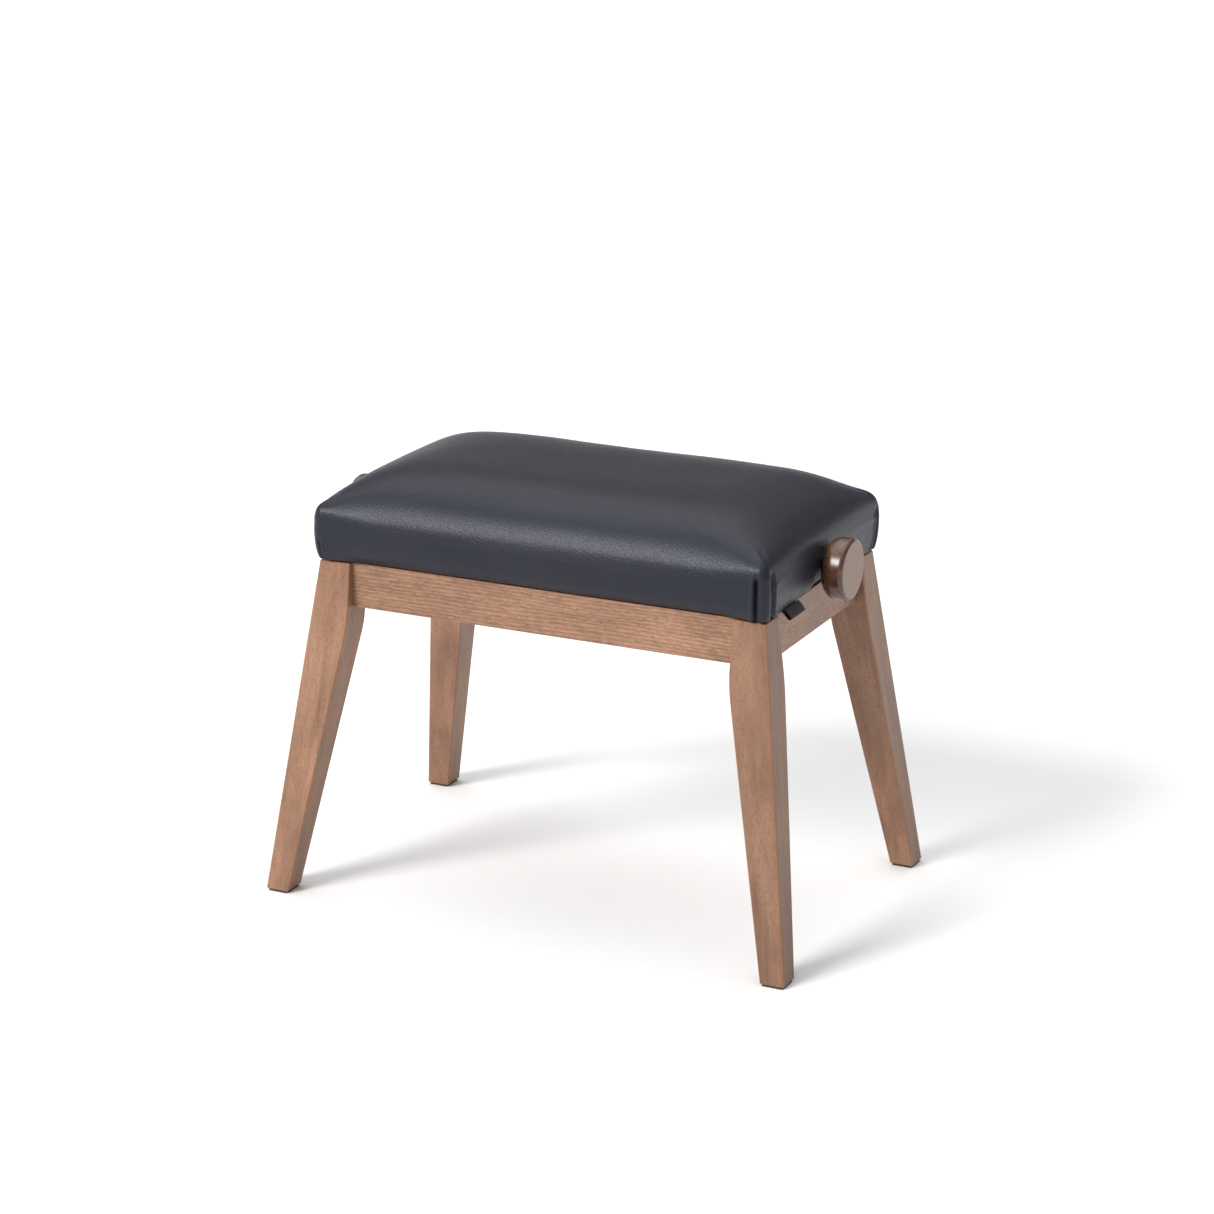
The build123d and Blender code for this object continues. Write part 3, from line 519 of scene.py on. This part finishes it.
def crown_height(x, y, half, top):
    """Height of the cushion's top over (x, y): a broad crown whose edges roll down."""
    u = min(abs(x) / half[0], 1.0)
    v = min(abs(y) / half[1], 1.0)
    fall = ((1 - u ** CROWN_POWERS[0]) * (1 - v ** CROWN_POWERS[1])) ** CROWN_BLEND
    height = top - CROWN_EDGE * (1 - fall)
    gap_x = half[0] - abs(x)
    gap_y = half[1] - abs(y)
    gap = min(gap_x, gap_y)
    if gap_x < PLAN_CORNER and gap_y < PLAN_CORNER:
        gap = PLAN_CORNER - math.hypot(PLAN_CORNER - gap_x, PLAN_CORNER - gap_y)
    gap = max(gap, 0.0)
    full = END_ROLL if gap_x < gap_y else ROLL_RADIUS
    radius = CORNER_ROLL + (full - CORNER_ROLL) * smooth(max(gap_x, gap_y), *ROLL_SPAN)
    if gap < radius:
        height -= radius - math.sqrt(radius**2 - (radius - gap) ** 2)
    return height


def spaced(half):
    """Grid coordinates from -half to half, closer together near both ends."""
    edge_count = round(EDGE_BAND / EDGE_STEP)
    middle_count = round(2 * (half - EDGE_BAND) / MIDDLE_STEP)
    edge = [-half + EDGE_BAND * step / edge_count for step in range(edge_count)]
    middle = [
        -half + EDGE_BAND + 2 * (half - EDGE_BAND) * step / middle_count for step in range(middle_count + 1)
    ]
    return edge + middle + [-value for value in reversed(edge)]


def round_corner(x, y, half):
    """Moves a point of the rectangular grid so that the grid fits the rounded outline."""
    a = abs(x) - (half[0] - PLAN_CORNER)
    b = abs(y) - (half[1] - PLAN_CORNER)
    if a <= 0 or b <= 0:
        return x, y
    share = max(a, b) / math.hypot(a, b)
    return (
        math.copysign(half[0] - PLAN_CORNER + a * share, x),
        math.copysign(half[1] - PLAN_CORNER + b * share, y),
    )


def outward(x, y, half):
    """The plan direction out of the rounded outline at a point on or near it."""
    a = abs(x) - (half[0] - PLAN_CORNER)
    b = abs(y) - (half[1] - PLAN_CORNER)
    if a > 0 and b > 0:
        size = math.hypot(a, b)
        return math.copysign(a / size, x), math.copysign(b / size, y)
    if a > b:
        return math.copysign(1.0, x), 0.0
    return 0.0, math.copysign(1.0, y)


def lean_at(x, y, half):
    """The share of the sides' lean at a place along the outline."""
    gap = max(half[0] - abs(x), half[1] - abs(y))
    return CORNER_TUCK + (1 - CORNER_TUCK) * smooth(gap, *TUCK_SPAN)


def leaning_half(half, lean, t):
    """Half-length and half-width of the outline at t, from 0 at its widest to 1 at the bottom."""
    share = sum(part * t**power for part, power in TUCK_CURVE)
    return [half[axis] - TUCK[axis] * lean * share for axis in (0, 1)]


class SeatShape:
    """The cushion's driving sizes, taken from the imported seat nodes."""

    def __init__(self):
        cover_low, cover_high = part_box("seat_cover")
        board_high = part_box("seat_board")[1]
        self.half = (cover_high[0], cover_high[1])
        self.top = cover_high[2]
        self.bottom = cover_low[2]
        self.wide = self.top - CROWN_EDGE - ROLL_RADIUS
        self.board = (board_high[0] + CAVITY_GAP, board_high[1] + CAVITY_GAP)
        self.board_top = board_high[2] + CAVITY_GAP

    def side_half(self, x, y, z):
        """Half-length and half-width of the seat's outline at a height, near the point (x, y)."""
        t = min(max((self.wide - z) / (self.wide - self.bottom), 0.0), 1.0)
        return leaning_half(self.half, lean_at(x, y, self.half), t)

    def in_cavity(self, point):
        """Whether a point lies on the hidden faces around the board and rim."""
        over_board = abs(point.x) < self.board[0] + NEAR and abs(point.y) < self.board[1] + NEAR
        return over_board and point.z < self.board_top + NEAR


def cushion_mesh(shape):
    """The cushion's top, sides, turned-under hem and inside, open over the seat board."""
    columns = spaced(shape.half[0])
    rows = spaced(shape.half[1])
    vertices = []
    for y in rows:
        for x in columns:
            px, py = round_corner(x, y, shape.half)
            vertices.append((px, py, crown_height(px, py, shape.half, shape.top)))
    wide, deep = len(columns), len(rows)
    faces = [
        (j * wide + i, j * wide + i + 1, (j + 1) * wide + i + 1, (j + 1) * wide + i)
        for j in range(deep - 1)
        for i in range(wide - 1)
    ]
    edge = [i for i in range(wide)]
    edge += [j * wide + wide - 1 for j in range(1, deep)]
    edge += [(deep - 1) * wide + i for i in range(wide - 2, -1, -1)]
    edge += [j * wide for j in range(deep - 2, 0, -1)]

    anchors = []
    for index in edge:
        x, y, top = vertices[index]
        normal = outward(x, y, shape.half)
        share = [
            ((x, y)[axis] - normal[axis] * PLAN_CORNER) / (shape.half[axis] - PLAN_CORNER) for axis in (0, 1)
        ]
        lift = 0.0
        if abs(normal[0]) > 0.99:
            lift = RECESS_RISE * (
                1 - smooth(abs(y), RECESS_HALF - RECESS_FADE[0], RECESS_HALF + RECESS_FADE[1])
            )
        anchors.append((normal, share, lift, lean_at(x, y, shape.half), top))

    def ring(half_at, corner, height):
        start = len(vertices)
        for normal, share, lift, lean, top in anchors:
            half = half_at(lean)
            x, y = (share[axis] * (half[axis] - corner) + normal[axis] * corner for axis in (0, 1))
            vertices.append((x, y, height(lift, top)))
        return list(range(start, len(vertices)))

    def leaning(t, inset=0.0):
        return lambda lean: [size - inset for size in leaning_half(shape.half, lean, t)]

    rings = [edge]
    for step in range(1, SIDE_RINGS + 1):
        t = step / SIDE_RINGS
        rings.append(ring(
            leaning(t), PLAN_CORNER,
            lambda lift, top, t=t: top + (shape.bottom + HEM_ROUND + lift - top) * t,
        ))
    for inset, rise in ((HEM_ROUND / 3, HEM_ROUND / 3), (HEM_ROUND, 0.0), (FOLD, 0.0), (FOLD, COVER)):
        rings.append(ring(
            leaning(1.0, inset), max(PLAN_CORNER - inset, HEM_CORNER),
            lambda lift, top, rise=rise: shape.bottom + rise + lift,
        ))
    for height in (lambda lift, top: shape.bottom + COVER + lift, lambda lift, top: shape.board_top):
        rings.append(ring(lambda lean: shape.board, CAVITY_CORNER, height))
    count = len(edge)
    for upper, lower in zip(rings, rings[1:]):
        for k in range(count):
            n = (k + 1) % count
            faces.append((upper[k], lower[k], lower[n], upper[n]))
    return mesh_object("seat_cushion", vertices, faces)


def relax(obj, shape):
    """Lets the cover settle under the padding's pressure, and keeps each point near where it began."""
    held = obj.vertex_groups.new(name="held")
    for vertex in obj.data.vertices:
        weight = 1 - smooth(vertex.co.z, shape.wide + HELD_SPAN[0], shape.wide + HELD_SPAN[1])
        held.add([vertex.index], 1.0 if shape.in_cavity(vertex.co) else weight, "REPLACE")
    cloth = obj.modifiers.new("settle", "CLOTH")
    for key, value in SETTLE.items():
        setattr(cloth.settings, key, value)
    cloth.settings.vertex_group_mass = held.name
    cloth.settings.effector_weights.gravity = 0
    cloth.point_cache.frame_start = 1
    cloth.point_cache.frame_end = SETTLE_FRAMES
    scene = bpy.context.scene
    for step in range(1, SETTLE_FRAMES + 1):
        scene.frame_set(step)
    settled = obj.evaluated_get(bpy.context.evaluated_depsgraph_get()).data
    targets = [vertex.co.copy() for vertex in settled.vertices]
    obj.modifiers.remove(cloth)
    scene.frame_set(1)
    for vertex, target in zip(obj.data.vertices, targets):
        move = target - vertex.co
        if move.length > SETTLE_CAP:
            move *= SETTLE_CAP / move.length
        vertex.co += move


def corner_place(x, y, half):
    """Which corner a side point is nearest, and its distance along the outline from the corner's middle."""
    a = abs(x) - (half[0] - PLAN_CORNER)
    b = abs(y) - (half[1] - PLAN_CORNER)
    quarter = PLAN_CORNER * math.pi / 4
    if a > 0 and b > 0:
        along = (math.atan2(b, a) - math.pi / 4) * PLAN_CORNER
    elif a > b:
        along = -(quarter - b)
    else:
        along = quarter - a
    return (x > 0, y > 0), along


def fold_corners(obj, shape):
    """The cover's pleats at the corners, and the faint pull of its fold along the sides."""
    for vertex in obj.data.vertices:
        x, y, z = vertex.co
        half = shape.side_half(x, y, z)
        inner = abs(x) < half[0] - FOLD_REACH and abs(y) < half[1] - FOLD_REACH
        if inner or shape.in_cavity(vertex.co) or z < shape.bottom + FLAT_HEM:
            continue
        corner, along = corner_place(x, y, half)
        folds, swell = FOLDS[corner]
        push = 0.0
        for middle, depth, width, rise in folds:
            if along * middle <= 0:
                continue
            fade = 1 - smooth(z, shape.bottom + rise, shape.bottom + rise + FOLD_FADE)
            beside = (abs(along) - abs(middle)) / width
            push -= depth * fade * math.exp(-(beside**2))
            push += LIP * fade * (depth / LIP_DEPTH) * math.exp(-((beside - LIP_PLACE) ** 2))
        between = max(0.0, 1 - (along / SWELL_HALF) ** 2)
        push += swell * between * (1 - smooth(z, shape.wide + SWELL_FADE[0], shape.wide + SWELL_FADE[1]))
        ripple = noise.noise(Vector((x * RIPPLE_SCALE[0], y * RIPPLE_SCALE[1], z * RIPPLE_SCALE[2] + 3)))
        low = 1 - smooth(z, shape.bottom, shape.wide)
        push += RIPPLE * ripple * low * (1 if abs(along) > RIPPLE_CORNER else RIPPLE_CORNER_SHARE)
        nx, ny = outward(x, y, half)
        vertex.co.x += nx * push
        vertex.co.y += ny * push


def wave_top(obj, shape):
    """The slight unevenness of hand-stretched padding."""
    for vertex in obj.data.vertices:
        x, y, z = vertex.co
        weight = smooth(z, shape.wide, shape.top - TOP_WAVE_FULL)
        wave = noise.noise(Vector((x * TOP_WAVE_SCALE, y * TOP_WAVE_SCALE, 7)))
        vertex.co.z += weight * TOP_WAVE * wave


def close_inside(obj):
    """Fills the one opening, over the seat board, so that the cushion is a closed solid."""
    mesh = bmesh.new()
    mesh.from_mesh(obj.data)
    bmesh.ops.holes_fill(mesh, edges=[edge for edge in mesh.edges if edge.is_boundary])
    bmesh.ops.recalc_face_normals(mesh, faces=mesh.faces)
    mesh.to_mesh(obj.data)
    mesh.free()


def subdivide(obj):
    modifier = obj.modifiers.new("refine", "SUBSURF")
    modifier.levels = modifier.render_levels = 1
    refined = bpy.data.meshes.new_from_object(obj.evaluated_get(bpy.context.evaluated_depsgraph_get()))
    obj.modifiers.remove(modifier)
    obj.data = refined


def cushion(materials):
    shape = SeatShape()
    piece = cushion_mesh(shape)
    relax(piece, shape)
    subdivide(piece)
    close_inside(piece)
    wave_top(piece, shape)
    fold_corners(piece, shape)
    dress(piece, materials["leatherette"])
    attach(piece, "seat")
    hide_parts("seat_cover", "seat_foam")


# Label


def label_path():
    """The ribbon's section, down the inner leaf, round the bend and up the outer leaf."""
    straight = LABEL_LENGTH - LABEL_OPENING / 2
    hidden = LABEL_OPENING * math.tan(LABEL_TILT)
    path = []
    for step in range(LABEL_STEPS + 1):
        share = step / LABEL_STEPS
        path.append((LABEL_BOWS[0] * math.sin(math.pi * share), -share * straight))
    for step in range(1, LABEL_BEND_STEPS):
        angle = math.pi * step / LABEL_BEND_STEPS
        path.append((
            LABEL_OPENING / 2 * (1 - math.cos(angle)), -straight - LABEL_OPENING / 2 * math.sin(angle)
        ))
    for step in range(LABEL_STEPS + 1):
        share = 1 - step / LABEL_STEPS
        bow = LABEL_BOWS[1] * math.sin(math.pi * share)
        path.append((LABEL_OPENING + bow, -hidden - share * (straight - hidden)))
    return path


def label(materials):
    """A folded ribbon sewn under the seat's end, leaning out."""
    low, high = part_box("label_tag")
    path = label_path()
    vertices, faces = [], []
    for side in (-0.5, 0.5):
        for index, (x, z) in enumerate(path):
            before = path[max(index - 1, 0)]
            after = path[min(index + 1, len(path) - 1)]
            size = math.hypot(after[0] - before[0], after[1] - before[1])
            px = x + (after[1] - before[1]) / size * side * LABEL_LEAF
            pz = z - (after[0] - before[0]) / size * side * LABEL_LEAF
            for step in range(LABEL_COLUMNS + 1):
                share = step / LABEL_COLUMNS
                curl = LABEL_CURL * math.sin(math.pi * share) * -z / LABEL_LENGTH
                tx, tz = px + curl, pz - curl * LABEL_CURL_RISE
                vertices.append((
                    low[0] + LABEL_LEAF + tx * math.cos(LABEL_TILT) - tz * math.sin(LABEL_TILT),
                    low[1] + (high[1] - low[1]) * share,
                    high[2] - LABEL_SEWN + tx * math.sin(LABEL_TILT) + tz * math.cos(LABEL_TILT),
                ))
    row = LABEL_COLUMNS + 1
    layer = row * len(path)
    for index in range(len(path) - 1):
        for step in range(LABEL_COLUMNS):
            a = index * row + step
            b = a + layer
            faces += [(a, a + 1, a + row + 1, a + row), (b + row, b + row + 1, b + 1, b)]
        for a in (index * row, index * row + LABEL_COLUMNS):
            faces.append((a, a + row, a + row + layer, a + layer))
    for start in (0, (len(path) - 1) * row):
        for step in range(LABEL_COLUMNS):
            a = start + step
            faces.append((a, a + 1, a + 1 + layer, a + layer))
    piece = mesh_object("folded_label", vertices, faces)
    tidy_normals(piece)
    dress(piece, materials["label_cloth"])
    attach(piece, "seat")
    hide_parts("label_tag")


# Spindle


def thread_radius(x, angle, crest):
    turn = (x / THREAD_PITCH - angle / (2 * math.pi)) % 1.0
    ridge = min(max(THREAD_FLAT - abs(turn - 0.5) * THREAD_FLANK, 0.0), 1.0)
    return THREAD_ROOT + (crest - THREAD_ROOT) * ridge


def threaded_spindle(materials):
    """The spindle: its screw thread from the collars to the right knob, and turned-down ends in the knobs."""
    low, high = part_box("spindle")
    middle_z = (low[2] + high[2]) / 2
    crest = high[1] - THREAD_CLEARANCE
    thread_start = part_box("thrust_collars")[1][0] + THREAD_LEAD
    shoulder = -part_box("knob_left")[1][0]
    end_radius = crest - END_STEP
    rings = [(low[0], 0.0), (low[0], end_radius - END_STEP), (low[0] + END_STEP, end_radius)]
    rings += [(-shoulder, end_radius), (-shoulder, crest), (thread_start - THREAD_END, crest)]
    count = int((shoulder - THREAD_END - thread_start) / THREAD_PITCH * THREAD_STEPS)
    rings += [(thread_start + step * THREAD_PITCH / THREAD_STEPS, None) for step in range(count)]
    rings += [(shoulder - END_STEP, crest), (shoulder, crest), (shoulder, end_radius)]
    rings += [(high[0] - END_STEP, end_radius), (high[0], end_radius - END_STEP), (high[0], 0.0)]
    vertices, faces = [], []
    for x, radius in rings:
        for step in range(THREAD_SIDES):
            angle = 2 * math.pi * step / THREAD_SIDES
            r = thread_radius(x, angle, crest) if radius is None else radius
            vertices.append((x, r * math.cos(angle), middle_z + r * math.sin(angle)))
    for ring in range(len(rings) - 1):
        for step in range(THREAD_SIDES):
            n = (step + 1) % THREAD_SIDES
            a = ring * THREAD_SIDES
            faces.append((a + step, a + n, a + THREAD_SIDES + n, a + THREAD_SIDES + step))
    piece = mesh_object("threaded_spindle", vertices, faces, smooth=False)
    tidy_normals(piece)
    dress(piece, materials["bright_steel"])
    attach(piece, "spindle_set")
    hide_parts("spindle")


# Floor, light and camera


def floor():
    half = FLOOR_HALF
    piece = mesh_object(
        "floor", [(-half, -half, 0), (half, -half, 0), (half, half, 0), (-half, half, 0)], [(0, 1, 2, 3)]
    )
    maker = Maker("floor")
    maker.set(Base_Color=FLOOR_COLOUR, Roughness=FLOOR_ROUGHNESS)
    dress(piece, maker.material)


def sky():
    """Soft light that grows from the horizon to overhead, weaker from +X, over a bright band at the floor."""
    world = bpy.data.worlds.new("studio")
    world.use_nodes = True
    maker = Nodes(world.node_tree)
    background = maker.tree.nodes["Background"]
    place = maker.make("TexCoord").outputs["Generated"]
    parts = maker.make("SeparateXYZ", {0: place}).outputs
    rise = maker.span(parts["Z"], *RISE_SPAN, HORIZON_LIGHT, OVERHEAD_LIGHT)
    side = maker.span(parts["X"], *SIDE_SPAN, 1.0, SHADE_SIDE_LIGHT)
    skyline = maker.span(parts["Z"], *SKYLINE_SPAN, 1.0, 0.0)
    strength = maker.math("MAXIMUM", maker.math("MULTIPLY", rise, side), skyline)
    maker.put(background.inputs["Color"], SKY_COLOUR)
    maker.put(background.inputs["Strength"], strength)
    bpy.context.scene.world = world


def lamps():
    for name, direction, width, strength in LIGHTS:
        lamp = bpy.data.lights.new(name, "SUN")
        lamp.angle = math.radians(width)
        lamp.energy = strength
        lamp.color = LAMP_COLOUR
        holder = link(bpy.data.objects.new(name, lamp))
        holder.rotation_euler = (-Vector(direction)).to_track_quat("-Z", "Y").to_euler()


def camera():
    direction = Vector((
        math.sin(CAMERA_TURN) * math.cos(CAMERA_RISE),
        -math.cos(CAMERA_TURN) * math.cos(CAMERA_RISE),
        math.sin(CAMERA_RISE),
    ))
    lens = bpy.data.cameras.new("camera")
    lens.lens = CAMERA_LENS
    lens.sensor_width = CAMERA_SENSOR
    lens.shift_x = CAMERA_SHIFT
    lens.clip_end = CAMERA_CLIP
    holder = link(bpy.data.objects.new("camera", lens))
    holder.location = Vector((0, 0, AIM_HEIGHT)) + direction * CAMERA_REACH
    holder.rotation_euler = (-direction).to_track_quat("-Z", "Y").to_euler()
    bpy.context.scene.camera = holder
    bpy.context.scene.view_settings.view_transform = "Standard"


camera()
floor()
sky()
lamps()
materials = dress_nodes()
cushion(materials)
label(materials)
threaded_spindle(materials)
